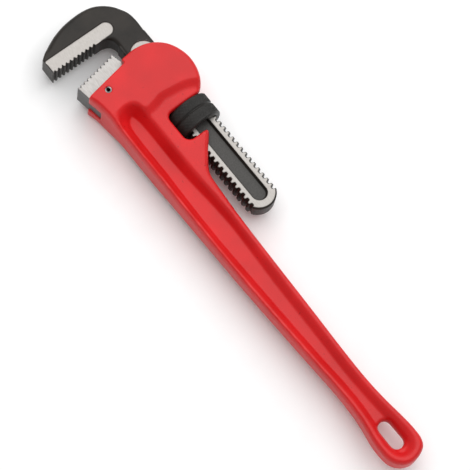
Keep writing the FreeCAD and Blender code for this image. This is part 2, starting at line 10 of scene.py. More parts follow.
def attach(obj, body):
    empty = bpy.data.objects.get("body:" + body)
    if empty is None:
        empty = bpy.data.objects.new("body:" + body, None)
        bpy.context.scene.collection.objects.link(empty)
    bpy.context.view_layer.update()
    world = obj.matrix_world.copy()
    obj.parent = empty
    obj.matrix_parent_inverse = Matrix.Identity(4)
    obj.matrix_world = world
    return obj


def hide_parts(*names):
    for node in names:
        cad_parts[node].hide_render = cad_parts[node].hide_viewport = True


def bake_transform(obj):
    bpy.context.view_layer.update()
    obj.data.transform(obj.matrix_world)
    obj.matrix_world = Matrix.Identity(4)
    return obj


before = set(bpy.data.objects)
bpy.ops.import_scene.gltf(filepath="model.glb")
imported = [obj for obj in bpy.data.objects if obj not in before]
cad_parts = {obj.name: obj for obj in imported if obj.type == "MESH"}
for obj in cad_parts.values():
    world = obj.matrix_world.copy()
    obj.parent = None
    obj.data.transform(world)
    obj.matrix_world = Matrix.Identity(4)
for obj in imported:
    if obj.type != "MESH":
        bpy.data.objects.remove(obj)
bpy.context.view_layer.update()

MM = 0.001
OUT = 9.0                   # a field value that adds nothing to a union; minus this cuts nothing away
PAST = 60.0                 # further out than the wrench's sides, for cuts that run right through

MID = 18.0                  # height of the wrench's middle plane
HEAD_HALF = 18.0            # half the thickness of the head
TILT = math.radians(9.9)    # lean of the heel jaw's toothed face

PITCH = 5.08                # thread: one turn
THREAD_START = 119.2        # a crest on the shank's side is this far behind the nut's plane, x = 0
PIN_X, PIN_Y, PIN_RADIUS = 12.8, 42.3, 2.5
SEAT_X, SEAT_Y, SEAT_HALF = 4.5, 19.0, 6.3      # the slot in the head for the heel jaw's tang


# ---------------------------------------------------------------- field tools

def smooth_max(a, b, k):
    """The larger of two fields, with the corner between them rounded over a width k."""
    h = np.clip(0.5 + 0.5 * (a - b) / k, 0, 1)
    return b + (a - b) * h + k * h * (1 - h)


def ramp(t):
    """0 below 0, 1 above 1, and smooth between."""
    t = np.clip(t, 0, 1)
    return t * t * (3 - 2 * t)


def fade(v, start, end):
    """0 up to start, 1 from end on, and smooth between; end may be the lower one."""
    return ramp((v - start) / (end - start))


def curve_through(points, steps=5):
    """A closed, smooth outline through points. A point with a third value stays a sharp corner."""
    p = [np.array(q[:2], float) for q in points]
    sharp = [len(q) > 2 for q in points]
    out = []
    n = len(p)
    for i in range(n):
        a, b = p[i], p[(i + 1) % n]
        before = a - (b - a) if sharp[i] else p[i - 1]
        after = b + (b - a) if sharp[(i + 1) % n] else p[(i + 2) % n]
        reach = np.linalg.norm(b - a)
        slope_a = (b - before) * reach / max(reach + np.linalg.norm(a - before), 1e-6)
        slope_b = (after - a) * reach / max(np.linalg.norm(after - b) + reach, 1e-6)
        for t in np.arange(steps) / steps:
            out.append((2 * t**3 - 3 * t**2 + 1) * a + (t**3 - 2 * t**2 + t) * slope_a
                       + (3 * t**2 - 2 * t**3) * b + (t**3 - t**2) * slope_b)
    return np.array(out)


def outline_distance(x, y, points):
    """Signed distance to a closed outline, negative inside."""
    x, y = np.broadcast_arrays(x, y)
    near = np.full(x.shape, 1e9)
    inside = np.zeros(x.shape, bool)
    for a, b in zip(points, np.roll(points, -1, axis=0)):
        edge = b - a
        length = edge @ edge
        if length < 1e-9:
            continue
        t = np.clip(((x - a[0]) * edge[0] + (y - a[1]) * edge[1]) / length, 0, 1)
        near = np.minimum(near, (x - a[0] - t * edge[0])**2 + (y - a[1] - t * edge[1])**2)
        crosses = (a[1] > y) != (b[1] > y)
        if edge[1]:
            inside ^= crosses & (x < a[0] + (y - a[1]) * edge[0] / edge[1])
    return np.where(inside, -1, 1) * np.sqrt(near)


def box_distance(x, y, low_x, high_x, low_y, high_y, corner=0.0):
    """Signed distance to an upright rectangle with round corners."""
    qx = np.abs(x - (low_x + high_x) / 2) - (high_x - low_x) / 2 + corner
    qy = np.abs(y - (low_y + high_y) / 2) - (high_y - low_y) / 2 + corner
    return np.minimum(np.maximum(qx, qy), 0) + np.hypot(np.maximum(qx, 0), np.maximum(qy, 0)) - corner


def slab(outline, height, half, edge, deep=None):
    """A flat body of half thickness half whose edges are rounded edge wide and, if given, deep tall."""
    stretch = 1.0 if deep is None else edge / deep
    qa, qz = outline + edge, (height - half) * stretch + edge
    return np.minimum(np.maximum(qa, qz), 0) + np.hypot(np.maximum(qa, 0), np.maximum(qz, 0)) - edge


# ---------------------------------------------------------------- meshes

def skin(field, low, high, step):
    """Vertices and quads of the surface where a field is zero, on a regular grid."""
    axes = [np.arange(a, b + step, step) for a, b in zip(low, high)]
    grid = np.meshgrid(*axes, indexing="ij", sparse=True)
    f = np.asarray(np.broadcast_to(field(*grid), [len(a) for a in axes]), np.float32)
    inside = f < 0
    corners = [(i, j, k) for i in (0, 1) for j in (0, 1) for k in (0, 1)]
    size = [n - 1 for n in f.shape]

    def part(array, c):
        return array[c[0]:c[0] + size[0], c[1]:c[1] + size[1], c[2]:c[2] + size[2]]

    # one vertex in each cell that the surface crosses, at the mean of its edges' crossings
    count = sum(part(inside, c).astype(np.int8) for c in corners)
    cells = np.argwhere((count > 0) & (count < len(corners)))
    value = {c: f[tuple((cells + c).T)] for c in corners}
    total = np.zeros((len(cells), 3))
    hits = np.zeros(len(cells))
    for a in corners:
        for axis in range(3):
            if a[axis]:
                continue
            b = tuple(1 if i == axis else v for i, v in enumerate(a))
            cut = (value[a] < 0) != (value[b] < 0)
            t = np.where(cut, value[a] / np.where(cut, value[a] - value[b], 1), 0)
            spot = np.array(a, float) + np.outer(t, np.eye(3)[axis])
            total += spot * cut[:, None]
            hits += cut
    vertices = (cells + total / hits[:, None]) * step + np.array(low)

    # one quad round each grid edge that the surface crosses
    number = np.full(size, -1, np.int64)
    number[tuple(cells.T)] = np.arange(len(cells))
    quads = []
    for axis in range(3):
        u, v = (axis + 1) % 3, (axis + 2) % 3
        start = [slice(None)] * 3
        end = [slice(None)] * 3
        start[axis], end[axis] = slice(None, -1), slice(1, None)
        first, second = inside[tuple(start)], inside[tuple(end)]
        for flip in (False, True):
            spots = np.argwhere((~first & second) if flip else (first & ~second))
            spots = spots[(spots[:, u] > 0) & (spots[:, v] > 0)
                          & (spots[:, u] < size[u]) & (spots[:, v] < size[v])]
            ring = []
            for du, dv in ((-1, -1), (0, -1), (0, 0), (-1, 0)):
                at = spots.copy()
                at[:, u] += du
                at[:, v] += dv
                ring.append(number[tuple(at.T)])
            quad = np.stack(ring, axis=1)
            quads.append(quad[:, ::-1] if flip else quad)
    return settle(field, vertices, step), np.concatenate(quads)


def settle(field, vertices, step, rounds=4):
    """Moves vertices on to the surface along the field's slope, by at most 0.4 of a step each round."""
    small = step * 0.05
    for _ in range(rounds):
        x, y, z = vertices.T
        f = field(x, y, z)
        slope = np.stack([field(x + small, y, z) - f, field(x, y + small, z) - f,
                          field(x, y, z + small) - f], axis=1) / small
        push = f / np.maximum((slope**2).sum(1), 0.25)
        move = slope * push[:, None]
        far = np.linalg.norm(move, axis=1)
        move *= np.minimum(1, 0.4 * step / np.maximum(far, 1e-9))[:, None]
        vertices = vertices - move
    return vertices


def make_piece(name, shape, body, node, material):
    """A mesh object in metres that stands for a CAD node and rides on a body, if one is given."""
    vertices, faces = shape
    mesh = bpy.data.meshes.new(name)
    mesh.from_pydata((np.asarray(vertices) * MM).tolist(), [], np.asarray(faces).tolist())
    mesh.validate()
    mesh.update()
    mesh.shade_smooth()
    mesh.materials.append(material)
    piece = bpy.data.objects.new(name, mesh)
    bpy.context.scene.collection.objects.link(piece)
    if body:
        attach(piece, body)
    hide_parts(node)
    return piece


def store(piece, name, values, width=0.6):
    """A signed distance kept on the mesh as 0 to 1, so that 0.5 is the edge."""
    layer = piece.data.attributes.new(name, "FLOAT", "POINT")
    layer.data.foreach_set("value", np.clip(0.5 + values / (2 * width), 0, 1).astype(np.float32))


# ---------------------------------------------------------------- handle

HANDLE_OUTLINE = curve_through([
    (-44, -6.0), (-53.5, -0.5), (-58.0, 2.8), (-64.8, 8.8), (-72.7, 15.0), (-78.9, 19.2), (-84.5, 20.9),
    (-92, 21.5), (-100, 22.0), (-110, 22.6), (-120, 23.1), (-150, 24.0), (-180, 24.8), (-210, 25.6),
    (-240, 26.6), (-262, 27.0), (-278, 26.7), (-292, 25.7), (-304, 24.3), (-314, 23.3), (-322, 23.0),
    (-328.5, 23.5), (-333.9, 26.0), (-337.2, 31.4), (-338.5, 37.6), (-338.0, 42.4), (-335.6, 47.2),
    (-331.6, 51.0), (-326.2, 53.2), (-319, 53.8), (-310, 53.4), (-300, 51.7), (-290, 50.4), (-280, 49.8),
    (-262, 49.8), (-245, 50.5), (-225, 51.3), (-195, 52.4), (-165, 53.3), (-135, 53.8), (-90, 54.0),
    (-50, 54.2), (-20, 54.1), (-4, 54.5), (8, 55.8), (16.3, 57.6, 1), (60, 57.6, 1),
    (60, 21.0, 1), (26.4, 21.0, 1), (27.4, 14.0), (27.9, 6.8), (26.0, -3.5), (20.5, -12.8), (12.5, -19.8),
    (3.0, -23.2), (-6.0, -23.55), (-15.0, -21.4), (-22.0, -17.8), (-28.0, -13.0), (-35, -9.6),
])
# where the handle's recessed web begins
RECESS_OUTLINE = curve_through([
    (-4.4, 37), (-6.8, 32.6), (-12, 30.4), (-20, 29.6), (-34, 29.4), (-56.7, 29.6), (-80, 29.2),
    (-100, 28.2), (-115, 27.6), (-135, 27.6), (-165, 28.1), (-195, 28.8), (-225, 29.6), (-255, 30.5),
    (-272, 30.4), (-290, 29.7), (-306, 28.4), (-318, 27.4), (-326, 28.4), (-331.2, 32.0), (-333.6, 38.0),
    (-332.4, 43.4), (-328.4, 47.4), (-320, 49.4), (-309, 48.9), (-296, 47.2), (-280, 46.3), (-262, 46.5),
    (-240, 47.8), (-195, 49.6), (-150, 50.7), (-100, 51.2), (-50, 51.4), (-22, 50.9), (-12, 49.0),
    (-6.0, 43.8),
])
# the head's flat face, at full thickness; it runs past the head on three sides
FACE_OUTLINE = curve_through([
    (-3.4, 60, 1), (-3.3, 46.5), (-3.6, 38.5), (-7.5, 32.6), (-13.2, 28.6), (-12.4, 21), (-10.6, 13.4),
    (-11.4, 5), (-12.6, -4), (-14.6, -11), (-19.5, -20), (-30, -34, 1), (60, -34, 1), (60, 60, 1),
])
BEAM_X = (-338, -262, -200, -125, -95, -62, 60)
BEAM_HALF = (9.3, 9.6, 9.9, 10.5, 11.7, 13.5, 13.5)
WEB_HALF = 4.0
NO_FLOOR = 30.0             # a recess floor higher than the casting: nothing is cut
OUTER_SIDE = (37.0, 42.0)   # y over which the beam's inner side turns into its outer side

FALL_NARROW, FALL_WIDER = 8.5, 11.0             # how far the head's face takes to fall to the beam
EDGE_WIDE, EDGE_DEEP = 4.3, 5.0                 # the edges' rounding, seen from above and from the side
OUTER_LESS_WIDE, OUTER_DEEPER = 1.3, 2.0        # how that changes on the beam's outer side
FRONT_WIDE, FRONT_DEEP = 1.8, 2.4               # and the rounding at the head's front
WALL_SLOPE, OUTER_WALL_SLOPE = 1.0, 1.08        # the recess walls, at the handle's end
HEAD_STEEPER, OUTER_HEAD_STEEPER = 0.6, 0.32    # and what is added towards the head
NUT_WINDOW = (-53.2, -27.0, -PAST, 19.0)
WINDOW_CORNER = 5.5
CHANNEL_Y, CHANNEL_WIDE, CHANNEL_HALF = 0.35, 16.15, 8.7    # the shank's channel through the head
CHANNEL_BACK_X = -28.0
BACK_GAP = (-29.0, -20.0, -PAST, 0.0)           # the channel's wall is open beside the window
FRONT_GAP_X, FRONT_GAP_Y = 12.0, 10.0           # and at the front, for the hook's neck
EARS_X, EARS_LONG, EARS_Y, EARS_HALF = -73.0, 21.0, 16.5, 8.1    # the gap between the two ears
CHEEK_REACH, CHEEK_Y = 26.2, 19.6               # the cheeks' sloping front end, and where it begins
HANG_X, HANG_Y, HANG_STRAIGHT, HANG_RADIUS = -313.4, 38.5, 6.3, 5.3


def lean_reach(x, y):
    """Distance forwards, square to the heel jaw's toothed face."""
    return x * math.cos(TILT) + y * math.sin(TILT)


def casting_half(x, y):
    """Half the casting's thickness: the head's flat face, falling to the tapered beam of the handle."""
    beam_half = np.interp(x, BEAM_X, BEAM_HALF)
    face = outline_distance(x, y, FACE_OUTLINE)
    fall = FALL_NARROW + FALL_WIDER * fade(y, 46.0, 54.0)
    return beam_half + (HEAD_HALF - beam_half) * (1 - ramp(face / fall)**0.8)


def casting_shell(x, y, height, half):
    """The casting before anything is cut into it, with rounder edges on the beam than at the front."""
    front = fade(x, 8.0, 22.0)
    bulge = fade(y, *OUTER_SIDE) * (1 - fade(x, -250.0, -300.0))
    wide = EDGE_WIDE - OUTER_LESS_WIDE * bulge
    deep = EDGE_DEEP + OUTER_DEEPER * bulge
    return slab(outline_distance(x, y, HANDLE_OUTLINE), height, half,
                wide + (FRONT_WIDE - wide) * front, deep + (FRONT_DEEP - deep) * front)


def recess_floor(x, y, half):
    """Height of the recess's floor over the middle plane: sloping walls down to a flat web."""
    depth = -outline_distance(x, y, RECESS_OUTLINE)
    towards_head = fade(x, -190.0, -80.0)
    inner_slope = WALL_SLOPE + HEAD_STEEPER * towards_head
    outer_slope = OUTER_WALL_SLOPE + OUTER_HEAD_STEEPER * towards_head
    slope = inner_slope + (outer_slope - inner_slope) * fade(y, *OUTER_SIDE)
    return np.where(depth < -3, NO_FLOOR, smooth_max(half - slope * depth, WEB_HALF, 1.2))


def handle_field(x, y, z):
    """The casting: its shell, less the recesses, the nut's window, the channel, the slots and the holes.

    The last number of each smooth_max is the width of the rounding along that cut.
    """
    height = np.abs(z - MID)
    half = casting_half(x, y)
    shell = casting_shell(x, y, height, half)
    shell = smooth_max(shell, (height - recess_floor(x, y, half)) * 0.7, 2.4)
    shell = smooth_max(shell, -box_distance(x, y, *NUT_WINDOW, WINDOW_CORNER), 2.6)
    channel = np.maximum(np.abs(y - CHANNEL_Y) - CHANNEL_WIDE, CHANNEL_BACK_X - x)
    channel = np.minimum(channel, box_distance(x, y, *BACK_GAP))
    channel = np.minimum(channel, np.maximum(FRONT_GAP_X - x, y - FRONT_GAP_Y))
    shell = smooth_max(shell, -np.maximum(channel, height - CHANNEL_HALF), 0.8)
    ears = np.maximum(height - EARS_HALF, np.maximum(y - EARS_Y, np.abs(x - EARS_X) - EARS_LONG))
    shell = smooth_max(shell, -ears, 0.8)
    seat = np.maximum(height - SEAT_HALF, np.maximum(SEAT_X - x, SEAT_Y - y))
    shell = smooth_max(shell, -seat, 0.5)
    shell = smooth_max(shell, np.minimum(lean_reach(x, y) - CHEEK_REACH, y - CHEEK_Y), 0.9)
    shell = smooth_max(shell, PIN_RADIUS - np.hypot(x - PIN_X, y - PIN_Y), 0.6)
    hole = np.hypot(np.maximum(np.abs(x - HANG_X) - HANG_STRAIGHT, 0), y - HANG_Y) - HANG_RADIUS
    return smooth_max(shell, -hole, 3.0)


# ---------------------------------------------------------------- hook jaw

TEETH_X = 49.6              # the tips of the hook's teeth
TEETH_END = 64.8            # the hook's free end
TOOTH_PITCH = 3.63
TOOTH_DEPTH = 2.0
HOOK_TEETH, HEEL_TEETH = 11, 10
TIP_SHARE, ROOT_AT, BACK_AT = 0.15, 0.62, 0.85  # of a tooth's pitch: the tip's land, the root, the steep back
HOOK_OUTLINE = curve_through([
    (10, 12.0, 1), (10, -12.0, 1), (40, -12.0), (48, -11.9), (54.6, -11.2), (61, -9.0), (67.5, -5.0),
    (73, 1.0), (76.8, 8.2), (78.4, 16.8), (78.3, 26), (77.2, 35), (74.8, 44), (71.6, 51.6), (67.6, 58.8),
    (63.2, 64.6, 1), (TEETH_X, TEETH_END, 1), (TEETH_X, 21.5, 1), (49.0, 17.2), (46.4, 13.4), (42.2, 11.6),
    (36, 11.4), (28, 12.0),
])
SHANK_BACK_X, SHANK_FRONT_X = -127.2, 45.0
SHANK_WIDE, SHANK_HALF = 13.9, 7.5              # across the thread's crests, and in thickness
NECK_WIDE, NECK_FROM_X = 12.0, -3.0             # the shank narrows where the thread ends
CREST_RADIUS, ROOT_RADIUS = 13.86, 11.9
CREST_FLAT = 0.95                               # half a crest's width
FLANK = 0.42                                    # how far the thread's flanks and the panel's walls lean
THREAD_X = (-121.0, -5.5)
BEVEL_TO_X, BEVEL_HALF = -108.0, 6.2            # the shank's end is bevelled on both faces
PANEL = (-120.6, 27.0, -6.3, 6.3, 6.3)          # the shank's recessed panel, with its corner radius
PANEL_HALF = 4.5
SHANK_TIP_X, SHANK_TIP_RADIUS = 23.2, 10.4      # the shank's flat ends round inside the thicker neck
HOOK_FROM_X = 12.0
NECK_HALF, HOOK_EXTRA = 8.2, 1.6                # half thickness, and how much more the hook has
FLAT_HALF, FLAT_SIDE_X = 9.0, 61.1              # the milled flat: half thickness, and its outer side
SLANT = 0.92                                    # keeps a slanted wall's field near a true distance


def saw(v, first, count):
    """How far the tooth gaps go in, at a distance v along a jaw's face whose teeth end at first."""
    turn = (first - v) / TOOTH_PITCH
    u = turn - np.floor(turn)
    gap = np.where(u < ROOT_AT, (u - TIP_SHARE) / (ROOT_AT - TIP_SHARE), (BACK_AT - u) / (BACK_AT - ROOT_AT))
    return np.where((turn > 0) & (turn < count), TOOTH_DEPTH * np.clip(gap, 0, 1), 0.0)


def jaw_flat(x, y):
    """Signed distance to the milled flat beside the hook's teeth, seen from above."""
    round_end = box_distance(x, y, TEETH_X + 0.2, FLAT_SIDE_X, 5.9, 40.0, 5.5)
    return np.minimum(round_end, box_distance(x, y, TEETH_X - 9.0, FLAT_SIDE_X, 22.0, 64.2, 1.5))


def shank_tip(x, y, radius):
    """Signed distance to the round front end of the shank's flat face."""
    return np.hypot(np.maximum(x - SHANK_TIP_X, 0), y) - radius


def shank_field(x, y, z):
    """A round-ended bar whose narrow sides carry segments of a round thread."""
    height = np.abs(z - MID)
    bar = box_distance(x, y, SHANK_BACK_X, SHANK_FRONT_X, -SHANK_WIDE, SHANK_WIDE, SHANK_WIDE)
    bar = np.maximum(bar, np.where(x > NECK_FROM_X, np.abs(y) - NECK_WIDE, -OUT))
    shank = slab(bar, height, SHANK_HALF, 0.35)
    end_bevel = (bar + height - BEVEL_HALF) * math.sqrt(0.5)
    shank = smooth_max(shank, np.where(x < BEVEL_TO_X, end_bevel, -OUT), 0.3)
    radius = np.hypot(y, z - MID)
    crest = np.where(x < NECK_FROM_X, radius - CREST_RADIUS, -OUT)
    phase = x + THREAD_START - PITCH * np.arctan2(z - MID, y) / (2 * np.pi)
    phase = np.abs(phase - PITCH * np.round(phase / PITCH))
    gap = (phase - CREST_FLAT - (radius - ROOT_RADIUS) * FLANK) * SLANT
    gap = np.maximum(gap, ROOT_RADIUS - radius)
    gap = np.maximum(gap, np.maximum(THREAD_X[0] - x, x - THREAD_X[1]))
    return smooth_max(shank, np.maximum(crest, -gap), 0.25)


def hook_field(x, y, z):
    """The shank, and a neck and hook that are thicker, with round edges away from the teeth."""
    height = np.abs(z - MID)
    half = NECK_HALF + HOOK_EXTRA * fade(x, 36.0, 49.0)
    jaw = fade(y, 12.0, 20.0)
    back = fade(x, 52.0, 62.0) * (1 - 0.8 * fade(y, 54.0, 63.0))
    edge = 3.0 * (1 - jaw) + jaw * (0.6 + 4.2 * back)
    edge = edge + 1.6 * fade(x, 56.0, 64.0) * (1 - jaw)
    hook = slab(outline_distance(x, y, HOOK_OUTLINE), height, half, edge)
    tip = np.where(x < SHANK_TIP_X, -OUT, shank_tip(x, y, SHANK_TIP_RADIUS))
    hook = smooth_max(hook, -tip, 0.3)
    hook = np.where(x < HOOK_FROM_X, OUT, hook)
    body = np.minimum(shank_field(x, y, z), hook)
    body = smooth_max(body, -np.maximum(jaw_flat(x, y), FLAT_HALF - height), 0.25)
    teeth = (TEETH_X + saw(y, TEETH_END, HOOK_TEETH) - x) * 0.75
    body = smooth_max(body, np.where((x < 53.0) & (y > 24.0), teeth, -OUT), 0.3)
    panel = (box_distance(x, y, *PANEL) + FLANK * (SHANK_HALF - height)) * SLANT
    return smooth_max(body, -np.maximum(panel, PANEL_HALF - height), 0.3)


def hook_masks(v):
    """Where the hook jaw is ground bright, and where the shank's panel floor is."""
    x, y, z = v.T
    height = np.abs(z - MID)
    panel = box_distance(x, y, *PANEL)
    above, below = height - (SHANK_HALF - 0.18), SHANK_HALF + 0.4 - height
    shank = np.minimum(np.minimum(above, below), 34.0 - x)
    shank = np.where(x > 20.0, np.minimum(shank, -shank_tip(x, y, SHANK_TIP_RADIUS + 0.1)), shank)
    shank = np.where(panel < 0.3, np.minimum(shank, panel), shank)
    above, below = height - (FLAT_HALF - 0.2), FLAT_HALF + 0.25 - height
    flat = np.minimum(np.minimum(-jaw_flat(x, y) + 0.1, above), below)
    floor = np.minimum(PANEL_HALF + 0.25 - height, -panel)
    return np.maximum(shank, flat), floor


# ---------------------------------------------------------------- heel jaw

HEEL_END = (29.4, 57.9)
HEEL_OUTLINE = np.array([HEEL_END, (SEAT_X, 54.1), (SEAT_X, SEAT_Y), (27.5, SEAT_Y), (35.85, 21.2)])
HEEL_HALF = 10.8            # half the thickness of the block in front of the cheeks; its tang fills the seat
BLOCK_REACH, FACE_REACH = 26.3, 38.95           # where the block begins, and its teeth's tips
HEEL_TEETH_FROM = (29.4, 58.0)


def heel_field(x, y, z):
    """A toothed block in front of the cheeks, on a thinner tang that fills the slot between them."""
    height = np.abs(z - MID)
    reach = lean_reach(x, y)
    side = outline_distance(x, y, HEEL_OUTLINE)
    block = np.maximum(slab(side, height, HEEL_HALF, 0.4), BLOCK_REACH - reach)
    block = np.minimum(block, slab(side, height, SEAT_HALF, 0.3))
    along = y * math.cos(TILT) - x * math.sin(TILT)
    first = HEEL_TEETH_FROM[1] * math.cos(TILT) - HEEL_TEETH_FROM[0] * math.sin(TILT)
    teeth = (reach - FACE_REACH + saw(along, first, HEEL_TEETH)) * 0.75
    pin = np.hypot(x - PIN_X, y - PIN_Y) - PIN_RADIUS
    return smooth_max(smooth_max(block, teeth, 0.2), -pin, 0.3)


# ---------------------------------------------------------------- leaf spring

LEAF_STEPS = 8
LEAF_PATH = curve_through([
    (-25.4, 16.05, 1), (-21.0, 16.03), (-16.0, 15.9), (-9.0, 15.1), (-3.0, 14.72), (2.0, 14.64),
    (7.0, 14.72), (12.0, 15.0), (16.0, 15.3, 1), (16.0, 40.0, 1),
], LEAF_STEPS)[:8 * LEAF_STEPS + 1]             # without the last corner, which only ends the curve
LEAF_WIDE, LEAF_HALF = 4.5, 0.36                # half its width and half its thickness
LEAF_TIP_X, LEAF_TIP_LONG = 12.5, 3.6


def leaf_mesh(across=10):
    """A bowed strip from its riveted root to its free tip, with a rounded tip and softened edges."""
    rows = []
    side = np.linspace(-1, 1, across)
    thick = LEAF_HALF - 0.12 * side**8
    for x, y in LEAF_PATH:
        wide = LEAF_WIDE * math.sqrt(max(1 - max((x - LEAF_TIP_X) / LEAF_TIP_LONG, 0)**2, 0.02))
        z = MID + wide * side
        rows.append(np.concatenate([np.stack([np.full(across, x), y - thick, z], axis=1),
                                    np.stack([np.full(across, x), y + thick, z], axis=1)[::-1]]))
    ring = 2 * across
    index = np.arange(ring)
    after = (index + 1) % ring
    quads = [np.stack([i * ring + index, (i + 1) * ring + index,
                       (i + 1) * ring + after, i * ring + after], axis=1) for i in range(len(rows) - 1)]
    caps = []
    for base in (0, (len(rows) - 1) * ring):
        for k in range(across - 1):
            cap = [base + k, base + k + 1, base + ring - 2 - k, base + ring - 1 - k]
            caps.append(cap if base == 0 else cap[::-1])
    return np.concatenate(rows), np.concatenate(quads + [np.array(caps)])


# ---------------------------------------------------------------- adjusting nut

NUT_BACK_X, NUT_FRONT_X = -47.6, -27.8
NUT_RADIUS, NUT_BORE = 17.9, 12.6
NUT_GROOVE = 1.25           # depth of the V groove round its middle
KNURLS, KNURL_DEPTH = 72, 0.55


def nut_mesh(around=576):
    """A knurled ring with a V groove round its middle and bevelled ends, turned about the shank's axis."""
    rim_back, rim_front = NUT_BACK_X + 1.3, NUT_FRONT_X - 1.1
    rim = np.linspace(rim_back, rim_front, 70)
    middle = (NUT_BACK_X + NUT_FRONT_X) / 2 + 0.6
    groove = np.clip(1.35 - np.abs(rim - middle) * 0.95, 0, NUT_GROOVE)
    angle = np.arange(around) * 2 * np.pi / around
    knurl_step = 2 * np.pi * NUT_RADIUS / KNURLS
    rows = []

    def row(x, r):
        rows.append(np.stack([np.full(around, x), r * np.cos(angle), MID + r * np.sin(angle)], axis=1))

    row(NUT_FRONT_X - 0.5, NUT_BORE)
    row(NUT_FRONT_X, NUT_BORE + 0.5)
    row(NUT_FRONT_X, NUT_RADIUS - 1.1)
    row(NUT_FRONT_X - 0.35, NUT_RADIUS - 0.55)
    turn = angle / (2 * np.pi) * KNURLS
    for x, cut in zip(rim[::-1], groove[::-1]):
        a = np.abs((turn + x / knurl_step) % 1 - 0.5) * 2
        b = np.abs((turn - x / knurl_step) % 1 - 0.5) * 2
        dent = KNURL_DEPTH * np.maximum(a, b)**3
        shallow = np.clip(1 - cut, 0, 1) * np.clip(min(x - rim_back, rim_front - x) / 0.6, 0, 1)
        row(x, NUT_RADIUS - 0.02 - cut - dent * shallow)
    row(NUT_BACK_X + 0.45, NUT_RADIUS - 0.6)
    row(NUT_BACK_X, NUT_RADIUS - 1.3)
    row(NUT_BACK_X, NUT_BORE + 0.5)
    row(NUT_BACK_X + 0.5, NUT_BORE)
    for x in np.arange(NUT_BACK_X + 1.1, NUT_FRONT_X - 0.8, 0.6):
        wave = 0.5 + 0.5 * np.cos(2 * np.pi * (x + THREAD_START - PITCH * angle / (2 * np.pi)) / PITCH)
        row(x, NUT_BORE + 0.2 + 1.4 * ramp(1.4 * wave - 0.2) * 0.9)
    count = len(rows)
    index = np.arange(around)
    after = (index + 1) % around
    quads = [np.stack([i * around + index, (i + 1) % count * around + index,
                       (i + 1) % count * around + after, i * around + after], axis=1) for i in range(count)]
    return np.concatenate(rows), np.concatenate(quads)


# ---------------------------------------------------------------- materials

class Look:
    """One procedural material, and short ways to add nodes to it. Each returns an output socket."""

    def __init__(self, name):
        self.material = bpy.data.materials.new(name)
        self.material.use_nodes = True
        self.nodes = self.material.node_tree.nodes
        self.link = self.material.node_tree.links.new
        self.shader = self.nodes["Principled BSDF"].inputs

    def feed(self, socket, source):
        self.link(source, self.shader[socket])

    def noise(self, scale, detail=3.0, stretch=(1, 1, 1)):
        """Noise in object space, in cycles per metre."""
        where = self.nodes.new("ShaderNodeTexCoord")
        place = self.nodes.new("ShaderNodeMapping")
        place.inputs["Scale"].default_value = stretch
        texture = self.nodes.new("ShaderNodeTexNoise")
        texture.inputs["Scale"].default_value = scale
        texture.inputs["Detail"].default_value = detail
        self.link(where.outputs["Object"], place.inputs["Vector"])
        self.link(place.outputs["Vector"], texture.inputs["Vector"])
        return texture.outputs["Fac"]

    def attribute(self, name):
        read = self.nodes.new("ShaderNodeAttribute")
        read.attribute_name = name
        return read.outputs["Fac"]

    def between(self, factor, *stops):
        """A colour ramp on a factor; stops are (position, colour or grey)."""
        band = self.nodes.new("ShaderNodeValToRGB")
        for element, (at, colour) in zip(band.color_ramp.elements, stops, strict=True):
            element.position = at
            element.color = (*colour, 1) if isinstance(colour, tuple) else (colour, colour, colour, 1)
        self.link(factor, band.inputs["Fac"])
        return band.outputs["Color"]

    def mix(self, factor, low, high):
        """Low where the factor is 0, high where it is 1. High may be a plain colour."""
        mix = self.nodes.new("ShaderNodeMix")
        mix.data_type = "RGBA"
        self.link(factor, mix.inputs["Factor"])
        self.link(low, mix.inputs["A"])
        if isinstance(high, tuple):
            mix.inputs["B"].default_value = (*high, 1)
        else:
            self.link(high, mix.inputs["B"])
        return mix.outputs["Result"]

    def edge_wear_and_highlight(self, start, full, patches=(0.42, 0.62), scale=160):
        """1 on sharply convex mesh edges where a patchy noise says so: rubbed wear, and on the red enamel a
        painted highlight.
        """
        convex = self.nodes.new("ShaderNodeNewGeometry").outputs["Pointiness"]
        both = self.nodes.new("ShaderNodeMath")
        both.operation = "MULTIPLY"
        self.link(self.between(convex, (start, 0.0), (full, 1.0)), both.inputs[0])
        patch = self.between(self.noise(scale, 4), (patches[0], 0.0), (patches[1], 1.0))
        self.link(patch, both.inputs[1])
        return both.outputs["Value"]

    def bump(self, *layers):
        """Bump from (factor, strength, depth in mm) layers."""
        normal = None
        for factor, strength, depth in layers:
            bump = self.nodes.new("ShaderNodeBump")
            bump.inputs["Strength"].default_value = strength
            bump.inputs["Distance"].default_value = depth * MM
            self.link(factor, bump.inputs["Height"])
            if normal:
                self.link(normal, bump.inputs["Normal"])
            normal = bump.outputs["Normal"]
        self.feed("Normal", normal)


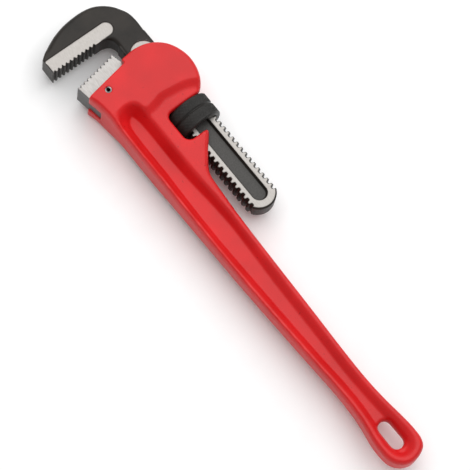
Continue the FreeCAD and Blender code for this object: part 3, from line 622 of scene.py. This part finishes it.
def red_enamel():
    """Glossy enamel over a cast skin: mottled, with dark specks, a painted highlight in patches along its
    edges, and chipped at corners.
    """
    look = Look("red_enamel")
    broad, fine, grain = look.noise(38, 2), look.noise(420, 3), look.noise(1500, 2)
    mottle = look.mix(look.between(broad, (0, 0.35), (1, 0.75)), grain, broad)
    colour = look.between(mottle, (0.32, (0.50, 0.007, 0.008)), (0.68, (0.69, 0.012, 0.014)))
    specks = look.between(fine, (0.24, (0.33, 0.005, 0.006)), (0.34, (0.64, 0.010, 0.012)))
    colour = look.mix(look.between(fine, (0.26, 1.0), (0.36, 0.0)), colour, specks)
    # painted highlight: patches along convex edges get a lighter, pinkish enamel colour and a lower roughness
    painted_highlight_edges = look.edge_wear_and_highlight(0.525, 0.56)
    chips = look.edge_wear_and_highlight(0.56, 0.60, (0.60, 0.66), 420)
    # the painted highlight's lighter, pinkish colour on those edges
    colour = look.mix(painted_highlight_edges, colour, (0.70, 0.030, 0.030))
    look.feed("Base Color", look.mix(chips, colour, (0.09, 0.060, 0.055)))
    look.feed("Roughness", look.mix(painted_highlight_edges, look.between(broad, (0.3, 0.30), (0.7, 0.40)), (0.24, 0.24, 0.24)))
    look.bump((broad, 0.25, 0.5), (fine, 0.45, 0.10), (grain, 0.45, 0.04))
    look.shader["Specular IOR Level"].default_value = 0.32
    return look.material


def forged_black():
    """Black oxide, with bright ground flats and a grey panel where the mesh's attributes say."""
    look = Look("forged_black")
    broad, fine, lines = look.noise(60, 3), look.noise(900, 4), look.noise(300, 2, (1.0, 9.0, 1.0))
    ground = look.between(look.attribute("ground"), (0.46, 0.0), (0.54, 1.0))
    floor = look.between(look.attribute("panel"), (0.4, 0.0), (0.6, 1.0))
    black = look.between(broad, (0.3, (0.012, 0.010, 0.008)), (0.75, (0.026, 0.021, 0.017)))
    grey = look.between(fine, (0.3, (0.045, 0.043, 0.040)), (0.7, (0.072, 0.069, 0.065)))
    silver = look.between(lines, (0.3, (0.32, 0.300, 0.28)), (0.7, (0.42, 0.400, 0.38)))
    colour = look.mix(look.edge_wear_and_highlight(0.54, 0.62), look.mix(floor, black, grey), (0.13, 0.125, 0.12))
    look.feed("Base Color", look.mix(ground, colour, silver))
    look.feed("Roughness", look.mix(ground, look.between(fine, (0.3, 0.36), (0.7, 0.52)),
                                    look.between(lines, (0.3, 0.38), (0.7, 0.50))))
    look.feed("Metallic", look.mix(ground, look.between(broad, (0, 0.05), (1, 0.15)),
                                   look.between(lines, (0, 0.75), (1, 0.85))))
    look.bump((broad, 0.20, 0.35), (fine, 0.30, 0.05), (lines, 0.12, 0.03))
    look.shader["Specular IOR Level"].default_value = 0.28
    return look.material


def nut_black():
    """Black oxide, rubbed a little on the tops of the knurls."""
    look = Look("nut_black")
    broad, fine = look.noise(90, 3), look.noise(1200, 3)
    black = look.between(broad, (0.3, (0.008, 0.007, 0.006)), (0.7, (0.018, 0.016, 0.014)))
    look.feed("Base Color", look.mix(look.edge_wear_and_highlight(0.54, 0.60), black, (0.050, 0.048, 0.045)))
    look.feed("Roughness", look.between(fine, (0.3, 0.34), (0.7, 0.48)))
    look.bump((fine, 0.3, 0.04))
    look.shader["Specular IOR Level"].default_value = 0.35
    return look.material


def ground_steel():
    """Heel jaw: bright ground sides with fine lines, dark elsewhere."""
    look = Look("ground_steel")
    lines, fine = look.noise(1500, 3, (0.12, 1.0, 1.0)), look.noise(700, 4)
    ground = look.between(look.attribute("ground"), (0.46, 0.0), (0.54, 1.0))
    dark = look.between(fine, (0.3, (0.045, 0.046, 0.045)), (0.7, (0.085, 0.086, 0.084)))
    silver = look.between(lines, (0.3, (0.29, 0.275, 0.26)), (0.7, (0.44, 0.425, 0.41)))
    colour = look.mix(look.edge_wear_and_highlight(0.55, 0.62), look.mix(ground, dark, silver), (0.30, 0.295, 0.285))
    look.feed("Base Color", colour)
    look.feed("Roughness", look.between(lines, (0.3, 0.34), (0.7, 0.48)))
    look.feed("Metallic", look.mix(ground, look.between(fine, (0, 0.1), (1, 0.2)),
                                   look.between(fine, (0, 0.8), (1, 0.85))))
    look.bump((lines, 0.12, 0.02), (fine, 0.15, 0.03))
    return look.material


def plain_steel(name, dark, light, smooth, rough):
    """Bare steel between two colours and two roughnesses, brighter on its edges."""
    look = Look(name)
    broad, fine = look.noise(300, 3), look.noise(2500, 3)
    colour = look.between(broad, (0.3, dark), (0.7, light))
    look.feed("Base Color", look.mix(look.edge_wear_and_highlight(0.55, 0.65), colour, (0.48, 0.47, 0.46)))
    look.feed("Roughness", look.between(fine, (0.3, smooth), (0.7, rough)))
    look.bump((fine, 0.2, 0.02))
    look.shader["Metallic"].default_value = 0.9
    return look.material


def floor_paper():
    """Near-white matt paper."""
    look = Look("floor_paper")
    fibres = look.noise(60, 4)
    look.feed("Base Color", look.between(fibres, (0.3, 0.93), (0.7, 0.95)))
    look.feed("Roughness", look.between(fibres, (0.3, 0.80), (0.7, 0.90)))
    return look.material


# ---------------------------------------------------------------- camera and light, in metres

CAMERA_AZIMUTH, CAMERA_ELEVATION, CAMERA_ROLL = (math.radians(v) for v in (215.3, 70.0, 16.9))
CAMERA_TARGET, CAMERA_DISTANCE = Vector((-0.128, 0.033, 0.018)), 1.6
CAMERA_LENS, CAMERA_SENSOR = 167.3, 36.0        # both in mm
LIGHT_TARGET = Vector((-0.12, 0.02, 0))
LIGHTS = (("key", (0.17, -0.40, 1.42), 2.3, 27.0),      # name, place, width, watts
          ("fill", (1.1, -1.2, 1.0), 1.2, 2.0))
WORLD_STRENGTH = 0.50
FLOOR_PLACE, FLOOR_SIZE = (-0.12, 0.02, -0.0004), 4.0   # just under the wrench


def place_camera():
    """A steep view from behind the handle's outer side, rolled so that the handle runs down to the right."""
    back = Vector((math.sin(CAMERA_AZIMUTH) * math.cos(CAMERA_ELEVATION),
                   -math.cos(CAMERA_AZIMUTH) * math.cos(CAMERA_ELEVATION), math.sin(CAMERA_ELEVATION)))
    level_up = (Vector((0, 0, 1)) - back * back.z).normalized()
    level_right = level_up.cross(back)
    up = level_up * math.cos(CAMERA_ROLL) - level_right * math.sin(CAMERA_ROLL)
    right = level_right * math.cos(CAMERA_ROLL) + level_up * math.sin(CAMERA_ROLL)
    data = bpy.data.cameras.new("camera")
    data.lens = CAMERA_LENS
    data.sensor_width = CAMERA_SENSOR
    data.clip_start, data.clip_end = 0.05, 20.0
    camera = bpy.data.objects.new("camera", data)
    bpy.context.scene.collection.objects.link(camera)
    turn = Matrix((right, up, back)).transposed().to_4x4()
    camera.matrix_world = Matrix.Translation(CAMERA_TARGET + back * CAMERA_DISTANCE) @ turn
    bpy.context.scene.camera = camera


def place_light():
    """Soft light from all round and from a large panel overhead, on a near-white floor."""
    bpy.context.scene.view_settings.view_transform = "Standard"
    world = bpy.data.worlds.new("studio")
    world.use_nodes = True
    world.node_tree.nodes["Background"].inputs["Color"].default_value = (1.0, 1.0, 1.0, 1)
    world.node_tree.nodes["Background"].inputs["Strength"].default_value = WORLD_STRENGTH
    bpy.context.scene.world = world
    for name, at, width, power in LIGHTS:
        data = bpy.data.lights.new(name, "AREA")
        data.size = width
        data.energy = power
        light = bpy.data.objects.new(name, data)
        light.location = at
        light.rotation_mode = "QUATERNION"
        light.rotation_quaternion = (Vector(at) - LIGHT_TARGET).to_track_quat("Z", "Y")
        bpy.context.scene.collection.objects.link(light)


def lay_floor():
    mesh = bpy.data.meshes.new("floor")
    sheet = bmesh.new()
    bmesh.ops.create_grid(sheet, x_segments=8, y_segments=8, size=FLOOR_SIZE)
    sheet.to_mesh(mesh)
    sheet.free()
    mesh.materials.append(floor_paper())
    floor = bpy.data.objects.new("floor", mesh)
    floor.location = FLOOR_PLACE
    bpy.context.scene.collection.objects.link(floor)


# ---------------------------------------------------------------- the wrench

def build():
    shape = skin(handle_field, (-342, -28, -2), (34, 62, 38), 1.05)
    make_piece("handle_casting", shape, "handle", "handle", red_enamel())

    shape = skin(hook_field, (-129, -15.5, 7), (80.5, 66.5, 29), 0.6)
    hook = make_piece("hook_jaw_forging", shape, "hook_jaw", "hook_jaw", forged_black())
    ground, panel = hook_masks(shape[0])
    store(hook, "ground", ground)
    store(hook, "panel", panel)

    shape = skin(heel_field, (3, 17.5, 6), (38, 60, 30), 0.45)
    heel = make_piece("heel_jaw_block", shape, "handle", "heel_jaw", ground_steel())
    store(heel, "ground", np.abs(shape[0][:, 2] - MID) - (HEEL_HALF - 0.2))

    make_piece("knurled_nut", nut_mesh(), "adjusting_nut", "adjusting_nut", nut_black())

    spring = plain_steel("spring_steel", (0.30, 0.29, 0.28), (0.42, 0.41, 0.40), 0.25, 0.40)
    leaf = make_piece("leaf_spring", leaf_mesh(), None, "flat_spring", spring)
    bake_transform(leaf)

    pin = plain_steel("pin_steel", (0.05, 0.05, 0.05), (0.16, 0.155, 0.15), 0.30, 0.50)
    for node, finish in (("heel_jaw_pin", pin), ("spring_rivet", spring), ("coil_spring", spring)):
        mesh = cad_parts[node].data
        mesh.materials.clear()
        mesh.materials.append(finish)


build()
place_camera()
place_light()
lay_floor()
